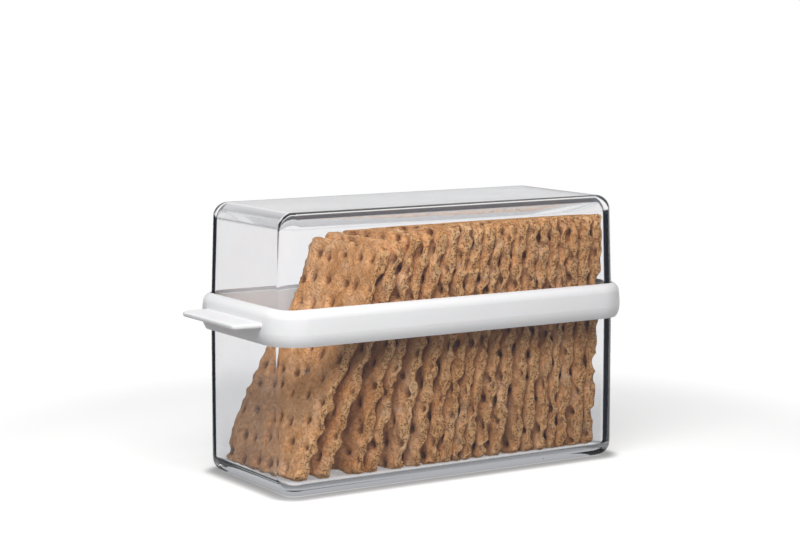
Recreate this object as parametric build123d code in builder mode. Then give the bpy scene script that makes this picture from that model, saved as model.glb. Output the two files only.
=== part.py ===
"""Crispbread container: a clear base box, a white collar with a pull tab, a clear cover and the crispbreads
that stand inside.

Lengths are in millimetres and angles in degrees. +X runs along the box away from the tab, -Y is the long
front side, +Z is up, and the origin is the centre of the underside."""
import os
from math import asin, cos, degrees, radians, sin

from build123d import *

os.makedirs("parts", exist_ok=True)

# Crispbreads, listed from the tab's end
bread_height = 123.5
bread_width = 65.0
bread_corner_radius = 3.0
bread_thicknesses = [
    6.3, 6.8, 6.6, 6.0, 7.0, 7.1, 6.9, 6.3, 6.1, 5.4,
    6.0, 7.4, 6.8, 6.5, 5.9, 5.4, 6.8, 7.6, 6.4,
]
# How much wider each pair of neighbours stands apart at the feet than at the tops
foot_spreads = [
    5.6, 10.4, 1.5, 7.4, 4.4, 2.7, 0.3, 0.5, 0.3,
    3.0, 2.8, 3.2, 1.0, 1.6, 1.2, 0.4, 1.2, 0.3,
]
last_lean = 3.0
# How far the first one is turned about its near foot; the next ones less and less
first_turn = 4.0
bread_clearance = 0.3
dimple_pitch = 14.0
dimple_sphere_radius = 3.6
dimple_depth = 1.6
dimple_columns = 4
dimple_rows = 8

# Room round the crispbreads
front_room = 4.6
back_room = 11.0
left_room = 1.92
right_room = 9.4
head_room = 7.0

# Clear base and cover
wall = 2.2
floor_thickness = 4.5
roof_thickness = 3.0
corner_radius = 9.9
corner_inner_radius = 8.5
foot_radius = 7.5
floor_fillet_radius = 4.5
crown_radius = 7.5
crown_inner_radius = 7.0
rim_radius = 0.6
base_height = 83.0
cover_draft = 1.9

# White collar
seat_clearance = 0.3
groove_clearance = 0.3
web_thickness = 1.4
lip_thickness = 1.2
lip_setback_top = 1.4
lip_setback_bottom = 2.4
lip_rounding = 0.4
collar_drop = 8.4
collar_rise = 7.45
collar_overhang = 5.66
collar_corner_radius = 18.7
collar_widest_height = 6.0
collar_bottom_inset = 1.8
collar_shoulder_inset = 0.5
collar_shoulder_depth = 4.4
collar_top_inset = 4.8

# Pull tab on the collar's left end
tab_reach = 14.6
tab_tip_width = 55.5
tab_root_width = 59.3
tab_thickness = 2.6
tab_drop = 6.95
tab_corner_radius = 3.0
tab_edge_radius = 1.1
tab_root_depth = 3.0

# Each crispbread's lean and right foot, worked out from the last one, which stands at x = 0 here
last_number = len(bread_thicknesses) - 1
turns = [radians(first_turn) * (1 - number / last_number) ** 2 for number in range(last_number + 1)]
leans = [radians(last_lean)]
feet = [0.0]
for thickness, spread, turn in zip(bread_thicknesses[:0:-1], foot_spreads[::-1], turns[:0:-1]):
    feet.insert(0, feet[0] - (thickness + bread_clearance + spread) / (cos(leans[0]) * cos(turn)))
    leans.insert(0, leans[0] + asin(spread / bread_height))
first_reach = bread_thicknesses[0] * cos(leans[0]) * cos(turns[0]) + bread_width * sin(turns[0])
stack_length = first_reach - feet[0]

# Sizes that follow
box_length = stack_length + left_room + right_room + 2 * wall
box_width = bread_width + front_room + back_room + 2 * wall
box_height = floor_thickness + bread_clearance + bread_height + head_room + roof_thickness
web_bottom = base_height + seat_clearance
web_top = web_bottom + web_thickness
cover_rim = web_top + seat_clearance
collar_bottom = base_height - collar_drop
collar_top = cover_rim + collar_rise
collar_length = box_length + 2 * collar_overhang
collar_width = box_width + 2 * collar_overhang
lip_bottom = collar_bottom + lip_setback_bottom
lip_top = collar_top - lip_setback_top
tab_top = collar_top - tab_drop
print(f"Box {box_length:.2f} x {box_width:.2f} x {box_height:.2f}")
print(f"Leans {degrees(leans[0]):.1f} to {last_lean} degrees")


def wall_outline(growth=0.0, mode=Mode.ADD):
    """Draws the clear walls' outer outline in plan, grown outwards by the growth."""
    RectangleRounded(box_length + 2 * growth, box_width + 2 * growth, corner_radius + growth, mode=mode)


def hollow_outline(inset=0.0, mode=Mode.ADD):
    """Draws the clear walls' inner outline in plan, drawn in by the inset."""
    length = box_length - 2 * (wall + inset)
    width = box_width - 2 * (wall + inset)
    RectangleRounded(length, width, corner_inner_radius - inset, mode=mode)


# Base box
with BuildPart() as base_cavity:
    with BuildSketch(Plane.XY.offset(floor_thickness)):
        hollow_outline()
    extrude(amount=base_height)
    fillet(base_cavity.faces().sort_by(Axis.Z)[0].edges(), floor_fillet_radius)

with BuildPart() as base_box:
    with BuildSketch():
        wall_outline()
    extrude(amount=base_height)
    fillet(base_box.faces().sort_by(Axis.Z)[0].edges(), foot_radius)
    add(base_cavity.part, mode=Mode.SUBTRACT)
    fillet(base_box.faces().sort_by(Axis.Z)[-1].edges(), rim_radius)
base_box.part.label = "base_box"

# Cover
with BuildPart() as cover_cavity:
    with BuildSketch(Plane.XY.offset(cover_rim)):
        hollow_outline()
    extrude(amount=box_height - roof_thickness - cover_rim, taper=cover_draft)
    fillet(cover_cavity.faces().sort_by(Axis.Z)[-1].edges(), crown_inner_radius)

with BuildPart() as cover:
    with BuildSketch(Plane.XY.offset(cover_rim)):
        wall_outline()
    extrude(amount=box_height - cover_rim, taper=cover_draft)
    fillet(cover.faces().sort_by(Axis.Z)[-1].edges(), crown_radius)
    add(cover_cavity.part, mode=Mode.SUBTRACT)
    fillet(cover.faces().sort_by(Axis.Z)[0].edges(), rim_radius)
cover.part.label = "cover"

# Pull tab
with BuildPart() as tab:
    with BuildSketch(Plane.XY.offset(tab_top - tab_thickness)):
        with BuildLine():
            Polyline(
                (-collar_length / 2 - tab_reach, tab_tip_width / 2),
                (-collar_length / 2 + tab_root_depth, tab_root_width / 2),
                (-collar_length / 2 + tab_root_depth, -tab_root_width / 2),
                (-collar_length / 2 - tab_reach, -tab_tip_width / 2),
                close=True,
            )
        tab_face = make_face()
        fillet(tab_face.vertices().group_by(Axis.X)[0], tab_corner_radius)
    extrude(amount=tab_thickness)
    upper_edges = tab.faces().sort_by(Axis.Z)[-1].edges().sort_by(Axis.X)[:-1]
    lower_edges = tab.faces().sort_by(Axis.Z)[0].edges().sort_by(Axis.X)[:-1]
    fillet(upper_edges + lower_edges, tab_edge_radius)

# Collar's lip, which stands inside the walls
with BuildPart() as lip:
    with BuildSketch(Plane.XY.offset(lip_bottom)):
        hollow_outline(groove_clearance)
        hollow_outline(groove_clearance + lip_thickness, Mode.SUBTRACT)
    extrude(amount=lip_top - lip_bottom)
    fillet(lip.faces().sort_by(Axis.Z)[-1].edges(), lip_rounding)

# Collar: a rounded skirt outside the walls, the lip inside them, a web between their rims, and the tab
with BuildSketch() as collar_outline:
    RectangleRounded(collar_length, collar_width, collar_corner_radius)
skirt_path = collar_outline.face().outer_wire()
skirt_plane = Plane(
    origin=skirt_path @ 0,
    x_dir=(skirt_path % 0).cross(Vector(0, 0, 1)),
    z_dir=-(skirt_path % 0),
)
widest = (0, collar_bottom + collar_widest_height)
shoulder_foot = (-collar_shoulder_inset, collar_top - collar_shoulder_depth)
skirt_depth = collar_overhang + wall / 2

with BuildPart() as collar:
    with BuildSketch(skirt_plane):
        with BuildLine():
            side_low = TangentArc(widest, (-collar_bottom_inset, collar_bottom), tangent=(0, -1))
            side_high = TangentArc(widest, shoulder_foot, tangent=(0, 1))
            shoulder = TangentArc(shoulder_foot, (-collar_top_inset, collar_top), tangent=side_high % 1)
            Polyline(shoulder @ 1, (-skirt_depth, collar_top), (-skirt_depth, collar_bottom), side_low @ 1)
        make_face()
    sweep(path=skirt_path)
    add(tab.part)
    with BuildSketch(Plane.XY.offset(collar_bottom)):
        wall_outline(groove_clearance)
    extrude(amount=collar_top - collar_bottom, mode=Mode.SUBTRACT)
    with BuildSketch(Plane.XY.offset(web_bottom)):
        wall_outline(groove_clearance)
        hollow_outline(groove_clearance + lip_thickness, Mode.SUBTRACT)
    extrude(amount=web_thickness)
    add(lip.part)
collar.part.label = "collar"

# Crispbreads: dimpled plates, each leaning on the next
breads = []
foot_height = floor_thickness + bread_clearance
last_foot = box_length / 2 - wall - right_room
bread_front = wall + front_room - box_width / 2
for number, (thickness, foot, lean, turn) in enumerate(zip(bread_thicknesses, feet, leans, turns), start=1):
    right_face = Plane(
        origin=(last_foot + foot, bread_front, foot_height),
        x_dir=(sin(turn), -cos(turn), 0),
        z_dir=(-cos(lean) * cos(turn), -cos(lean) * sin(turn), sin(lean)),
    )
    left_dimples = right_face.offset(thickness + dimple_sphere_radius - dimple_depth)
    right_dimples = right_face.offset(dimple_depth - dimple_sphere_radius)
    with BuildPart() as bread:
        with BuildSketch(right_face):
            with Locations((-bread_width / 2, bread_height / 2)):
                RectangleRounded(bread_width, bread_height, bread_corner_radius)
        extrude(amount=thickness)
        with Locations(left_dimples):
            with Locations((-bread_width / 2, bread_height / 2)):
                with GridLocations(dimple_pitch, dimple_pitch, dimple_columns, dimple_rows):
                    Sphere(dimple_sphere_radius, mode=Mode.SUBTRACT)
        with Locations(right_dimples):
            with Locations((-bread_width / 2, bread_height / 2)):
                with GridLocations(dimple_pitch, dimple_pitch, dimple_columns - 1, dimple_rows - 1):
                    Sphere(dimple_sphere_radius, mode=Mode.SUBTRACT)
    bread.part.label = f"crispbread_{number:02d}"
    breads.append(bread.part)

for piece in [base_box.part, cover.part, collar.part, *breads]:
    export_step(piece, f"parts/{piece.label}.step")
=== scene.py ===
from math import asin, cos, pi, radians, sin, tan

import bmesh
import bpy
import numpy as np
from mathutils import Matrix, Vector


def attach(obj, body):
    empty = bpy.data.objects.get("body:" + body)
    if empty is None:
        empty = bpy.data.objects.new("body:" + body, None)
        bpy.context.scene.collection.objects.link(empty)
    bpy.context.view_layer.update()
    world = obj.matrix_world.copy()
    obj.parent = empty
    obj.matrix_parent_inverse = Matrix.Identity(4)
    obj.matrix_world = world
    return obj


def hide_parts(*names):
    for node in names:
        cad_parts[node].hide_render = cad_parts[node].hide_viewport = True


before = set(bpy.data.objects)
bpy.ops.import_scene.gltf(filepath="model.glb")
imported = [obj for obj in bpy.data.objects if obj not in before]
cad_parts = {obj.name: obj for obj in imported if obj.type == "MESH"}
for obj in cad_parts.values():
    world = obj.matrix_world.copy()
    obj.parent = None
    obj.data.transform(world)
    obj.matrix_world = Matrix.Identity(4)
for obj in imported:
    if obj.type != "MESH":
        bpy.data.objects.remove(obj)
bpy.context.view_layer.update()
mm = 0.001

# Camera, in metres and degrees
camera_place = (-0.5832, -0.9203, 0.2382)
camera_azimuth = -31.96
camera_elevation = 7.08
camera_lens = 95.7

# Clear walls, in millimetres as the solids are
box_length = 200.0
box_width = 85.0
box_height = 138.3
wall = 2.2
floor_thickness = 4.5
corner_radius = 9.9
corner_inner_radius = 8.5
foot_radius = 7.5
floor_fillet_radius = 4.5
crown_radius = 7.5
crown_inner_radius = 7.0
roof_thickness = 3.0
rim_radius = 0.6
base_height = 83.0
cover_rim = 85.0
cover_draft = radians(1.9)
corner_steps = 16

# Crispbreads, in millimetres, listed from the tab's end
bread_height = 123.5
bread_width = 65.0
bread_clearance = 0.3
bread_thicknesses = [
    6.3, 6.8, 6.6, 6.0, 7.0, 7.1, 6.9, 6.3, 6.1, 5.4,
    6.0, 7.4, 6.8, 6.5, 5.9, 5.4, 6.8, 7.6, 6.4,
]
foot_spreads = [
    5.6, 10.4, 1.5, 7.4, 4.4, 2.7, 0.3, 0.5, 0.3,
    3.0, 2.8, 3.2, 1.0, 1.6, 1.2, 0.4, 1.2, 0.3,
]
front_room = 4.6
right_room = 9.4

# Crispbreads, in degrees
last_lean = 3.0
first_turn = 4.0

# Crispbread surface, in millimetres
grid_step = 1.0
edge_columns = 8
pit_pitch_across = 12.5
pit_pitch_up = 12.0
pit_jitter = 2.6
pit_radius = 3.3
pit_depth = 2.4
pit_core_depth = 1.4
pit_core_share = 0.62
bite_pitch = 13.0
bite_radius = 3.4
bite_depth = 3.0
least_thickness = 1.9
swell = 0.3
bulge = 0.35
warp = 0.5
first_bow = 2.8
crumb_height = 0.16
rim_width = 3.0
edge_rounding = 0.25
corner_cut = 1.2
side_raggedness = 0.35
end_raggedness = 0.5
side_hollow = 0.25
end_hollow = 0.35

# Ranges of the random draws, as shares of the lengths above
pit_strengths = (0.6, 1.2)
pit_sizes = (0.8, 1.2)
pit_stretches = (0.8, 1.25)
bite_sizes = (0.6, 1.3)
bite_strengths = (0.3, 1.25)
bite_spacings = (0.4, 1.8)

# Greys that stand in for white, for certain rays or places
near_side_grey = (0.11, 0.11, 0.13, 1.0)
roof_grey = (0.13, 0.13, 0.15, 1.0)
bent_up_grey = (0.10, 0.105, 0.12, 1.0)
trapped_grey = (0.42, 0.43, 0.45, 1.0)
# Painted shadow on the floor under the box's edges: its grey, and how much of it is mixed in
painted_shadow_grey = (0.05, 0.05, 0.055, 1.0)
painted_shadow_share = 0.6

# Where things fade on the floor and on the walls, in metres
shadow_kept = 0.22
plain_white = 0.42
front_fade = (-0.045, -0.065)
left_fade = (-0.103, -0.125)
# Where the painted shadow under the box's edges fades out and in
painted_shadow_outer = (0.017, 0.009)
painted_shadow_inner = (0.001, 0.006)
# Where the painted dark edges of the clear walls are narrower
tab_half = (0.0, -0.05)
below_crown = (0.13, 0.095)

# Where things fade in the surroundings, as parts of a direction of length 1
camera_side = (0.75, 0.45)
far_left = (-0.2, -0.4)
above_level = (0.0, 0.05)
high_up = (0.4, 0.6)

# Slants, as 1 less the cosine, between which an upright clear edge is painted dark, how much later that is
# where the painted dark edges are narrower, and the square of the normal's rise that counts as upright
painted_dark_slants = (0.185, 0.215)
narrowing = 0.03
upright_rises = (0.16, 0.06)


def deselect_all():
    """Leaves nothing selected, so that an operator acts on one new piece alone."""
    if bpy.context.object and bpy.context.object.mode != "OBJECT":
        bpy.ops.object.mode_set(mode="OBJECT")
    bpy.ops.object.select_all(action="DESELECT")


class Tone:
    """A shader value that Python's operators turn into Math nodes."""

    def __init__(self, finish, socket):
        self.finish = finish
        self.socket = socket

    def math(self, operation, first, second):
        return self.finish.node("ShaderNodeMath", {"operation": operation}, {0: first, 1: second})

    def __add__(self, other):
        return self.math("ADD", self, other)

    def __radd__(self, other):
        return self.math("ADD", other, self)

    def __sub__(self, other):
        return self.math("SUBTRACT", self, other)

    def __rsub__(self, other):
        return self.math("SUBTRACT", other, self)

    def __mul__(self, other):
        return self.math("MULTIPLY", self, other)

    def __rmul__(self, other):
        return self.math("MULTIPLY", other, self)

    def __gt__(self, other):
        return self.math("GREATER_THAN", self, other)


class Finish:
    """A node tree, with a method that adds any node to it."""

    def __init__(self, tree):
        self.tree = tree
        tree.nodes.clear()

    def node(self, kind, settings=None, values=None, output=0):
        """Adds a node with its settings and its inputs' values, and returns one of its outputs."""
        made = self.tree.nodes.new(kind)
        for name, setting in (settings or {}).items():
            if name == "stops":
                elements = made.color_ramp.elements
                while len(elements) < len(setting):
                    elements.new(0.5)
                for element, (place, colour) in zip(elements, setting):
                    element.position = place
                    element.color = (*colour, 1)
            else:
                setattr(made, name, setting)
        for name, value in (values or {}).items():
            if isinstance(value, Tone):
                self.tree.links.new(value.socket, made.inputs[name])
            else:
                made.inputs[name].default_value = value
        return Tone(self, made.outputs[output])

    def place(self):
        return self.node("ShaderNodeTexCoord", output="Object")

    def ray(self, fact):
        """What Light Path says of the ray, such as Is Camera Ray."""
        return self.node("ShaderNodeLightPath", output=fact)

    def studio_white(self, near_side):
        """White as a backdrop is, and darker on the near side for a ray that was reflected."""
        return self.mixed(self.reflected() * near_side, rgb(1, 1, 1), near_side_grey)

    def reflected(self):
        """1 for a ray that was reflected on its way, and otherwise 0."""
        return self.ray("Glossy Depth") > 0.5

    def refracted(self):
        """1 for a ray that passed through a clear surface on its way, and otherwise 0."""
        return self.ray("Transmission Depth") > 0.5

    def split(self, vector):
        """The three parts of a vector."""
        return [self.node("ShaderNodeSeparateXYZ", {}, {0: vector}, output=part) for part in range(3)]

    def painted_foot_shadow(self):
        """Where the floor is painted with shadow: 1 under the rounded edge that the box stands on, and 0
        further in or out.
        """
        reach = (box_length / 2 - corner_radius, box_width / 2 - corner_radius)
        beyond = []
        for part, half in zip(self.split(self.place()), reach):
            size = self.node("ShaderNodeMath", {"operation": "ABSOLUTE"}, {0: part})
            beyond.append(self.larger(size - half * mm, 0.0))
        squared = beyond[0] * beyond[0] + beyond[1] * beyond[1]
        away = self.node("ShaderNodeMath", {"operation": "SQRT"}, {0: squared})
        return self.band(away, *painted_shadow_outer) * self.band(away, *painted_shadow_inner)

    def larger(self, first, second):
        """The larger of two values."""
        return self.node("ShaderNodeMath", {"operation": "MAXIMUM"}, {0: first, 1: second})

    def painted_edge_darkness(self):
        """1 where a ray inside an upright clear wall meets its surface at a long slant, and otherwise 0:
        there the wall is painted dark.
        The painted dark edges this makes are narrower at the tab's end, further below the crown."""
        facing = self.node("ShaderNodeLayerWeight", {}, {"Blend": 0.5}, output=1)
        inside = self.node("ShaderNodeNewGeometry", output="Backfacing")
        normal = self.node("ShaderNodeNewGeometry", output="Normal")
        tilt = self.split(normal)[2]
        along, _, rise = self.split(self.place())
        narrower = narrowing * self.band(along, *tab_half) * self.band(rise, *below_crown)
        slanted = self.band(facing - narrower, *painted_dark_slants)
        return inside * slanted * self.band(tilt * tilt, *upright_rises)

    def noise(self, scale, detail=3.0, roughness=0.55):
        """Noise on Object coordinates, from 0 to 1; scale is in waves per metre."""
        values = {"Vector": self.place(), "Scale": scale, "Detail": detail, "Roughness": roughness}
        return self.node("ShaderNodeTexNoise", {}, values)

    def mixed(self, amount, first, second):
        """Mixes two colours."""
        colours = {0: amount, 6: first, 7: second}
        return self.node("ShaderNodeMix", {"data_type": "RGBA"}, colours, output=2)

    def band(self, value, first, second):
        """Goes smoothly from 0 at the first bound to 1 at the second, which may be the lower one."""
        return self.node("ShaderNodeMapRange", {"interpolation_type": "SMOOTHSTEP"},
                         {"Value": value, "From Min": first, "From Max": second})

    def surface(self, shader, kind="ShaderNodeOutputMaterial"):
        """Links the finished shader to the tree's output."""
        out = self.tree.nodes.new(kind)
        self.tree.links.new(shader.socket, out.inputs["Surface"])


def new_material(name):
    material = bpy.data.materials.new(name)
    material.use_nodes = True
    return material, Finish(material.node_tree)


def rgb(red, green, blue):
    return (red, green, blue, 1.0)


# Clear moulded plastic
def clear_plastic():
    material, finish = new_material("clear_plastic")
    haze = finish.noise(60.0)
    flow = finish.noise(14.0, 2.0)
    tint = finish.mixed(flow, rgb(0.984, 0.987, 0.998), rgb(0.99, 0.992, 1.0))
    shader = finish.node("ShaderNodeBsdfPrincipled", {}, {
        "Base Color": tint,
        "Roughness": 0.01 * haze,
        "IOR": 1.53,
        "Transmission Weight": 1.0,
        "Normal": finish.node("ShaderNodeBump", {}, {"Height": flow, "Strength": 0.02, "Distance": 0.002}),
    })
    grazing = finish.band(finish.node("ShaderNodeLayerWeight", {}, {"Blend": 0.5}, output=1), 0.45, 0.9)
    shaded = finish.mixed(grazing, rgb(0.97, 0.97, 0.975), rgb(0.25, 0.25, 0.26))
    straight = finish.node("ShaderNodeBsdfTransparent", {}, {"Color": shaded})
    passing = finish.larger(finish.ray("Is Shadow Ray"), finish.ray("Is Diffuse Ray"))
    # Near-black surface mixed in where the walls slant: painted dark edges
    dark = finish.node("ShaderNodeBsdfDiffuse", {}, {"Color": rgb(0.012, 0.017, 0.03)})
    edged = finish.node("ShaderNodeMixShader", {}, {0: 0.96 * finish.painted_edge_darkness(), 1: shader, 2: dark})
    finish.surface(finish.node("ShaderNodeMixShader", {}, {0: passing, 1: edged, 2: straight}))
    return material


# Satin white plastic
def white_plastic():
    material, finish = new_material("white_plastic")
    mottle = finish.noise(35.0)
    grain = finish.noise(2500.0, 2.0)
    finish.surface(finish.node("ShaderNodeBsdfPrincipled", {}, {
        "Base Color": finish.mixed(mottle, rgb(0.76, 0.76, 0.77), rgb(0.81, 0.81, 0.815)),
        "Roughness": 0.36 + 0.1 * mottle,
        "Subsurface Weight": 0.1,
        "Subsurface Scale": 0.002,
        "Normal": finish.node("ShaderNodeBump", {}, {"Height": grain, "Strength": 0.08, "Distance": 0.0001}),
    }))
    return material


# Baked crispbread
def baked_crispbread():
    material, finish = new_material("crispbread")
    cut = finish.node("ShaderNodeAttribute", {"attribute_name": "cut"}, output=2)
    pit = finish.node("ShaderNodeAttribute", {"attribute_name": "pit"}, output=2)
    patches = finish.noise(55.0)
    crumbs = finish.noise(420.0, 4.0, 0.65)
    fine = finish.noise(1300.0, 3.0, 0.7)
    cell_values = {"Vector": finish.place(), "Scale": 1000.0}
    cells = finish.node("ShaderNodeTexVoronoi", {"feature": "F1"}, cell_values)
    crust = finish.node("ShaderNodeValToRGB", {"stops": [
        (0.28, (0.50, 0.19, 0.05)),
        (0.44, (0.78, 0.37, 0.14)),
        (0.58, (0.90, 0.51, 0.26)),
        (0.76, (0.97, 0.72, 0.49)),
    ]}, {0: 0.4 * patches + 0.45 * crumbs + 0.15 * fine})
    crumb = finish.node("ShaderNodeValToRGB", {"stops": [
        (0.26, (0.38, 0.14, 0.04)),
        (0.43, (0.72, 0.35, 0.13)),
        (0.57, (0.90, 0.52, 0.24)),
        (0.76, (0.98, 0.78, 0.52)),
    ]}, {0: 0.35 * patches + 0.65 * crumbs})
    browner = finish.band(finish.noise(38.0), 0.46, 0.64)
    crust = finish.mixed(0.4 * browner, crust, rgb(0.44, 0.20, 0.065))
    surface = finish.mixed(cut, crust, crumb)
    # Dark pores: painted shade in the small holes of the crumb, mostly on the cut faces
    pores = finish.band(cells, 0.50, 0.22) * finish.band(crumbs, 0.64, 0.50)
    surface = finish.mixed(pores * (0.03 + 0.85 * cut), surface, rgb(0.26, 0.11, 0.045))
    # Darker inside the pits: painted shade
    surface = finish.mixed(0.92 * finish.band(pit, 0.25, 0.9), surface, rgb(0.20, 0.075, 0.025))
    flour = finish.band(finish.noise(95.0, 2.0), 0.54, 0.72) * finish.band(fine, 0.45, 0.6) * (1 - 0.6 * cut)
    surface = finish.mixed(0.5 * flour, surface, rgb(0.80, 0.68, 0.56))
    height = 0.5 * crumbs + 0.25 * fine - 0.6 * pores
    finish.surface(finish.node("ShaderNodeBsdfPrincipled", {}, {
        "Base Color": surface,
        "Roughness": 0.78 + 0.15 * fine,
        "Specular IOR Level": 0.25,
        "Normal": finish.node("ShaderNodeBump", {}, {"Height": height, "Strength": 0.9, "Distance": 0.0012}),
    }))
    return material


# Clear walls
def at_height(vert, height):
    """Whether a point lies at a height that is given in millimetres."""
    return abs(vert.co.z - height * mm) < 1e-5


def pick_edges(piece, height):
    """Selects the sharp edges that lie at one height, in edit mode."""
    bpy.ops.mesh.select_all(action="DESELECT")
    mesh = bmesh.from_edit_mesh(piece.data)
    for edge in mesh.edges:
        level = all(at_height(vert, height) for vert in edge.verts)
        if level and (edge.is_boundary or edge.calc_face_angle() > radians(60)):
            edge.select_set(True)
    bmesh.update_edit_mesh(piece.data)


def pick_cap(piece, height):
    """Selects the largest face that lies at one height, in edit mode."""
    bpy.ops.mesh.select_all(action="DESELECT")
    mesh = bmesh.from_edit_mesh(piece.data)
    level = [face for face in mesh.faces if all(at_height(vert, height) for vert in face.verts)]
    max(level, key=lambda face: face.calc_area()).select_set(True)
    bmesh.update_edit_mesh(piece.data)


def wall_outline(name, height):
    """A flat face with the walls' outer outline, left in edit mode."""
    deselect_all()
    bpy.ops.mesh.primitive_plane_add(size=1, location=(0, 0, height * mm))
    piece = bpy.context.object
    piece.name = name
    piece.scale = (box_length * mm, box_width * mm, 1)
    bpy.ops.object.transform_apply(location=True, rotation=True, scale=True)
    bpy.ops.object.mode_set(mode="EDIT")
    bpy.ops.mesh.select_all(action="SELECT")
    rounding = {"offset": corner_radius * mm, "segments": corner_steps, "clamp_overlap": False}
    bpy.ops.mesh.bevel(affect="VERTICES", **rounding)
    return piece


def round_inner_corners(piece, height):
    """Gives the inset cap its own corner radius, by placing its corner points on wider arcs."""
    mesh = bmesh.from_edit_mesh(piece.data)
    reach = Vector((box_length / 2 - wall, box_width / 2 - wall)) * mm
    centre = reach - Vector((corner_inner_radius, corner_inner_radius)) * mm
    was = reach - Vector((corner_radius - wall, corner_radius - wall)) * mm
    for vert in mesh.verts:
        if vert.select and at_height(vert, height):
            side = Vector((abs(vert.co.x), abs(vert.co.y)))
            along = (side - was).normalized()
            place = centre + along * corner_inner_radius * mm
            vert.co.x = place.x if vert.co.x > 0 else -place.x
            vert.co.y = place.y if vert.co.y > 0 else -place.y
    bmesh.update_edit_mesh(piece.data)


def round_edges(piece, height, radius, steps):
    """Rounds the sharp edges that lie at one height."""
    pick_edges(piece, height)
    bpy.ops.mesh.bevel(offset=radius * mm, affect="EDGES", segments=steps, profile=0.5, clamp_overlap=False)


def finish_clear(piece, body, node, material):
    """Smooths a clear piece, with its flat walls kept flat, and puts it in its node's place."""
    bpy.ops.mesh.select_all(action="SELECT")
    bpy.ops.mesh.normals_make_consistent(inside=False)
    bpy.ops.object.mode_set(mode="OBJECT")
    bpy.ops.object.shade_smooth()
    bpy.ops.object.modifier_add(type="WEIGHTED_NORMAL")
    bpy.context.object.modifiers[-1].mode = "FACE_AREA"
    bpy.ops.object.modifier_apply(modifier=bpy.context.object.modifiers[-1].name)
    piece.data.materials.append(material)
    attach(piece, body)
    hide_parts(node)


def base_walls(material):
    piece = wall_outline("base_walls", 0)
    bpy.ops.mesh.extrude_region_move(TRANSFORM_OT_translate={"value": (0, 0, base_height * mm)})
    pick_cap(piece, base_height)
    bpy.ops.mesh.inset(thickness=wall * mm, use_even_offset=True)
    round_inner_corners(piece, base_height)
    hollow = (base_height - floor_thickness) * mm
    bpy.ops.mesh.extrude_region_move(TRANSFORM_OT_translate={"value": (0, 0, -hollow)})
    round_edges(piece, 0, foot_radius, 12)
    round_edges(piece, floor_thickness, floor_fillet_radius, 9)
    round_edges(piece, base_height, rim_radius, 3)
    finish_clear(piece, "base", "base_box", material)


def cover_walls(material):
    piece = wall_outline("cover_walls", cover_rim)
    rise = box_height - cover_rim
    bpy.ops.mesh.inset(thickness=rise * tan(cover_draft) * mm, depth=rise * mm, use_even_offset=True)
    pick_edges(piece, cover_rim)
    bpy.ops.mesh.edge_face_add()
    bpy.ops.mesh.select_all(action="SELECT")
    bpy.ops.mesh.normals_make_consistent(inside=False)
    pick_cap(piece, cover_rim)
    bpy.ops.mesh.inset(thickness=wall * mm, use_even_offset=True)
    round_inner_corners(piece, cover_rim)
    hollow = rise - roof_thickness
    bpy.ops.mesh.inset(thickness=hollow * tan(cover_draft) * mm, depth=-hollow * mm, use_even_offset=True)
    # A bevel is as wide as the radius where walls meet at a right angle, and less where they lean in
    setback = tan(pi / 4 - cover_draft / 2)
    round_edges(piece, box_height, crown_radius * setback, 14)
    round_edges(piece, cover_rim + hollow, crown_inner_radius * setback, 14)
    round_edges(piece, cover_rim, rim_radius, 3)
    finish_clear(piece, "cover", "cover", material)


# Crispbreads
def bread_places():
    """Each slice's thickness, right foot, lean and turn, in millimetres and radians."""
    last = len(bread_thicknesses) - 1
    turns = [radians(first_turn) * (1 - number / last) ** 2 for number in range(last + 1)]
    leans = [radians(last_lean)]
    feet = [box_length / 2 - wall - right_room]
    for thickness, spread, turn in zip(bread_thicknesses[:0:-1], foot_spreads[::-1], turns[:0:-1]):
        feet.insert(0, feet[0] - (thickness + bread_clearance + spread) / (cos(leans[0]) * cos(turn)))
        leans.insert(0, leans[0] + asin(spread / bread_height))
    return list(zip(bread_thicknesses, feet, leans, turns))


def plain_slab():
    """A block of one unit each way, divided into a grid that is fine up and across and coarse through."""
    deselect_all()
    bpy.ops.mesh.primitive_cube_add(size=1, location=(0, 0, 0))
    slab = bpy.context.object
    slab.name = "plain_slab"
    bpy.ops.object.mode_set(mode="EDIT")
    cuts = (edge_columns - 1, round(bread_width / grid_step) - 1, round(bread_height / grid_step) - 1)
    for axis, count in enumerate(cuts):
        bpy.ops.mesh.select_all(action="DESELECT")
        mesh = bmesh.from_edit_mesh(slab.data)
        for edge in mesh.edges:
            along = edge.verts[1].co - edge.verts[0].co
            if abs(along[axis]) > 1e-6:
                edge.select_set(True)
        bmesh.update_edit_mesh(slab.data)
        bpy.ops.mesh.subdivide(number_cuts=count, quadcorner="STRAIGHT_CUT")
    bpy.ops.object.mode_set(mode="OBJECT")
    return slab


def waves(first, second, random, shortest=9.0, longest=30.0, count=8):
    """A smooth random surface, mostly between -1 and 1."""
    total = np.zeros_like(first)
    for _ in range(count):
        length = random.uniform(shortest, longest)
        turn = random.uniform(0, 2 * pi)
        phase = random.uniform(0, 2 * pi)
        total += np.sin((first * np.cos(turn) + second * np.sin(turn)) * 2 * pi / length + phase)
    return total * (1.2 / count ** 0.5) / 1.4


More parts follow.
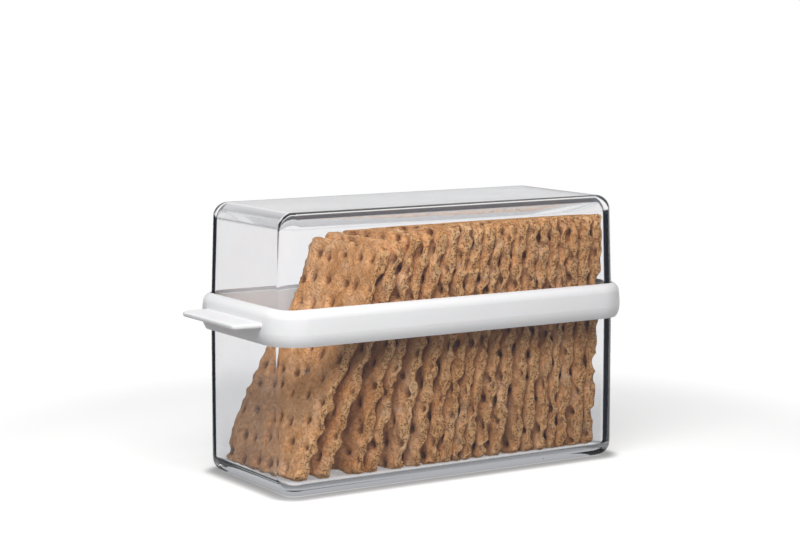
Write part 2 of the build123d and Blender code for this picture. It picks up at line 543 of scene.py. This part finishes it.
def pitted_face(across, up, random, offset):
    """How far one face lies below the slab's flat side, and how deep in a pit each point is, from 0 to 1."""
    depth = np.zeros_like(across)
    share = np.zeros_like(across)
    rows = int(bread_height / pit_pitch_up) + 3
    columns = int(bread_width / pit_pitch_across) + 3
    for row in range(rows):
        for column in range(columns):
            shift = 0.5 * (row % 2) + offset
            middle_across = (column - 1 + shift) * pit_pitch_across + random.uniform(-pit_jitter, pit_jitter)
            middle_up = (row - 0.5 + offset) * pit_pitch_up + random.uniform(-pit_jitter, pit_jitter)
            strength = random.uniform(*pit_strengths)
            radius = pit_radius * random.uniform(*pit_sizes)
            stretch = random.uniform(*pit_stretches)
            squared = ((across - middle_across) * stretch) ** 2 + ((up - middle_up) / stretch) ** 2
            bowl = np.exp(-(squared / radius ** 2) ** 1.2)
            core = np.exp(-squared / (pit_core_share * radius) ** 2)
            depth = np.maximum(depth, strength * (pit_depth * bowl + pit_core_depth * core))
            share = np.maximum(share, 0.45 * bowl + 0.55 * core)
    # Pits that the cut edges run through
    for edge, deepest in ((0.0, bite_depth), (bread_width, 0.5 * bite_depth)):
        middle_up = random.uniform(0, bite_pitch)
        while middle_up < bread_height:
            radius = bite_radius * random.uniform(*bite_sizes)
            squared = ((across - edge) * 1.1) ** 2 + ((up - middle_up) * 0.9) ** 2
            bowl = np.exp(-(squared / radius ** 2) ** 1.6)
            depth = np.maximum(depth, deepest * random.uniform(*bite_strengths) * bowl)
            share = np.maximum(share, 0.4 * bowl)
            middle_up += bite_pitch * random.uniform(*bite_spacings)
    return depth, share


def crispbread(plain, number, thick, foot, lean, turn, material):
    """One slice: a slab with pits on both faces, swollen between them, and ragged cut edges."""
    random = np.random.default_rng(100 + number)
    piece = plain.copy()
    piece.data = plain.data.copy()
    piece.name = f"slice_{number:02d}"
    bpy.context.collection.objects.link(piece)
    mesh = piece.data
    unit = np.empty(len(mesh.vertices) * 3)
    mesh.vertices.foreach_get("co", unit)
    unit = unit.reshape(-1, 3)
    across = (unit[:, 1] + 0.5) * bread_width
    up = (unit[:, 2] + 0.5) * bread_height
    on_face = np.abs(np.abs(unit[:, 0]) - 0.5) < 1e-4

    left_pits, left_share = pitted_face(across, up, random, random.uniform(0, 1))
    right_pits, right_share = pitted_face(across, up, random, random.uniform(0, 1))
    left = thick - left_pits - swell * 0.5 * (1 + waves(across, up, random))
    right = right_pits + swell * 0.5 * (1 + waves(across, up, random))
    left -= crumb_height * (1 + waves(across, up, random, 2.5, 6.0))
    right += crumb_height * (1 + waves(across, up, random, 2.5, 6.0))
    short = np.maximum(least_thickness - (left - right), 0) / 2
    left = np.clip(left + short, 0, thick) + bulge
    right = np.clip(right - short, 0, thick) - bulge

    # Cut edges: drawn in along their corners, and wandering a little in and out
    past_side = np.abs(unit[:, 1]) * bread_width - bread_width / 2 + rim_width
    past_end = np.abs(unit[:, 2]) * bread_height - bread_height / 2 + rim_width
    side = np.clip(past_side, 0, rim_width) / rim_width
    end = np.clip(past_end, 0, rim_width) / rim_width
    rim = np.maximum(side, end)
    round_in = edge_rounding * rim ** 4
    left = np.maximum(left - round_in, right + least_thickness / 2)
    depth = right + round_in * 0.6 + (left - right - round_in * 0.6) * (0.5 - unit[:, 0])
    section = np.abs(unit[:, 0]) * 2
    ragged_side = side_raggedness * (1 + waves(up, depth * 2, random, 2.5, 9.0))
    ragged_side += side_hollow * section ** 4
    ragged_end = end_raggedness * (1 + waves(across, depth * 2, random, 3.0, 12.0))
    ragged_end += end_hollow * section ** 4
    across = across - np.sign(unit[:, 1]) * (side ** 2 * ragged_side + corner_cut * side * end)
    up = up - np.sign(unit[:, 2]) * (end ** 2 * ragged_end + corner_cut * side * end)
    bend = warp * (1 - up / bread_height) * waves(across, up, random, 60.0, 140.0, 3)
    depth = depth + bend
    # The first one is bowed outwards below and a little inwards above, along its far edge
    if number == 1:
        turning = np.sin(2 * pi * np.clip(up / bread_height, 0, 1))
        far_edge = np.clip(across / bread_width, 0, 1)
        depth = depth + first_bow * far_edge * np.where(turning > 0, turning, 0.4 * turning)

    # From the slab's own directions to the frame
    face = np.array((-cos(lean) * cos(turn), -cos(lean) * sin(turn), sin(lean)))
    back = np.array((-sin(turn), cos(turn), 0.0))
    rise = np.array((sin(lean) * cos(turn), sin(lean) * sin(turn), cos(lean)))
    start = np.array((foot, front_room + wall - box_width / 2, floor_thickness + bread_clearance))
    place = mm * (start + depth[:, None] * face + across[:, None] * back + up[:, None] * rise)
    mesh.vertices.foreach_set("co", place.ravel())

    cut = np.where(on_face, 0.75 * rim ** 3, 1.0)
    # The pit attribute says where the material paints shade in the pits
    pit = np.where(unit[:, 0] < 0, left_share, right_share) * np.where(on_face, 1.0, 0.3)
    for name, values in (("cut", cut), ("pit", pit)):
        mesh.attributes.new(name, "FLOAT", "POINT").data.foreach_set("value", values)
    mesh.polygons.foreach_set("use_smooth", [True] * len(mesh.polygons))
    mesh.update()
    mesh.materials.clear()
    mesh.materials.append(material)
    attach(piece, "base")
    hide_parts(f"crispbread_{number:02d}")


# Studio: white floor and surroundings, soft light from above and in front
def world_light():
    """White surroundings, darker on the camera's side for reflections and dimmer as a light."""
    world = bpy.data.worlds.new("studio")
    bpy.context.scene.world = world
    world.use_nodes = True
    finish = Finish(world.node_tree)
    diffuse = finish.ray("Is Diffuse Ray")
    towards = finish.node("ShaderNodeTexCoord", output="Generated")
    along, depth, rise = finish.split(towards)
    across = along + 0.6 * depth
    off_left = finish.band(along, *far_left)
    off_roof = finish.reflected() * (1 - finish.refracted()) * finish.band(rise, *above_level)
    near_side = finish.band(across, *camera_side) * (1 - 0.2 * off_left) * (1 - off_roof)
    seen = finish.mixed(0.4 * off_roof, finish.studio_white(near_side), roof_grey)
    bent_up = finish.refracted() * finish.band(rise, *high_up)
    seen = finish.mixed(bent_up, seen, bent_up_grey)
    background = finish.node("ShaderNodeBackground", {}, {"Color": seen, "Strength": 1 - 0.72 * diffuse})
    finish.surface(background, "ShaderNodeOutputWorld")


def white_floor():
    """A floor that keeps the shadow near the object and is plain white further out, with a painted shadow
    under the box's edges.
    """
    deselect_all()
    bpy.ops.mesh.primitive_plane_add(size=8, location=(0, 0, 0))
    plane = bpy.context.object
    plane.name = "floor"
    material, finish = new_material("white_floor")
    seen = 1 - finish.larger(finish.ray("Is Shadow Ray"), finish.ray("Is Diffuse Ray"))
    away = finish.node("ShaderNodeVectorMath", {"operation": "LENGTH"}, {0: finish.place()}, output=1)
    far = finish.band(away, shadow_kept, plain_white)
    # Painted shadow along the box's foot, darkening both the floor's colour and its glow there
    painted_shadow = painted_shadow_share * finish.painted_foot_shadow()
    bounced = finish.mixed(finish.ray("Is Diffuse Ray"), rgb(0.9, 0.9, 0.9), rgb(0.4, 0.4, 0.4))
    bounced = finish.mixed(painted_shadow, bounced, painted_shadow_grey)
    lit = finish.node("ShaderNodeBsdfDiffuse", {}, {"Color": bounced})
    along, depth, _ = finish.split(finish.place())
    near_side = finish.larger(finish.band(depth, *front_fade), finish.band(along, *left_fade))
    reflected = finish.reflected()
    trapped = reflected * finish.refracted()
    shade = finish.mixed(trapped, finish.studio_white(near_side), trapped_grey)
    shade = finish.mixed(painted_shadow, shade, painted_shadow_grey)
    strength = 1.6 - 0.6 * finish.larger(far, reflected)
    bright = finish.node("ShaderNodeEmission", {}, {"Color": shade, "Strength": strength})
    glow = finish.larger(seen * (0.3 + 0.7 * far), finish.larger(reflected * near_side, trapped))
    finish.surface(finish.node("ShaderNodeMixShader", {}, {0: glow, 1: lit, 2: bright}))
    plane.data.materials.append(material)


def softbox(name, place, target, size, power):
    light = bpy.data.lights.new(name, "AREA")
    light.shape = "RECTANGLE"
    light.size, light.size_y = size
    light.energy = power
    lamp = bpy.data.objects.new(name, light)
    lamp.location = place
    lamp.rotation_euler = (Vector(target) - Vector(place)).to_track_quat("-Z", "Y").to_euler()
    lamp.visible_camera = False
    lamp.visible_glossy = False
    lamp.visible_transmission = False
    bpy.context.collection.objects.link(lamp)


def photo_camera():
    lens = bpy.data.cameras.new("camera")
    lens.lens = camera_lens
    lens.sensor_width = 36.0
    body = bpy.data.objects.new("camera", lens)
    body.location = camera_place
    body.rotation_euler = (radians(90 - camera_elevation), 0, radians(camera_azimuth))
    bpy.context.collection.objects.link(body)
    bpy.context.scene.camera = body


clear = clear_plastic()
white = white_plastic()
bread = baked_crispbread()
base_walls(clear)
cover_walls(clear)
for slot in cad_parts["collar"].material_slots:
    slot.material = white
plain = plain_slab()
for number, (thick, foot, lean, turn) in enumerate(bread_places(), start=1):
    crispbread(plain, number, thick, foot, lean, turn, bread)
bpy.data.objects.remove(plain)

world_light()
white_floor()
softbox("front_softbox", place=(-0.24, -0.30, 0.50), target=(0, 0, 0.11), size=(0.5, 0.35), power=3.8)
photo_camera()
bpy.context.scene.view_settings.view_transform = "Standard"
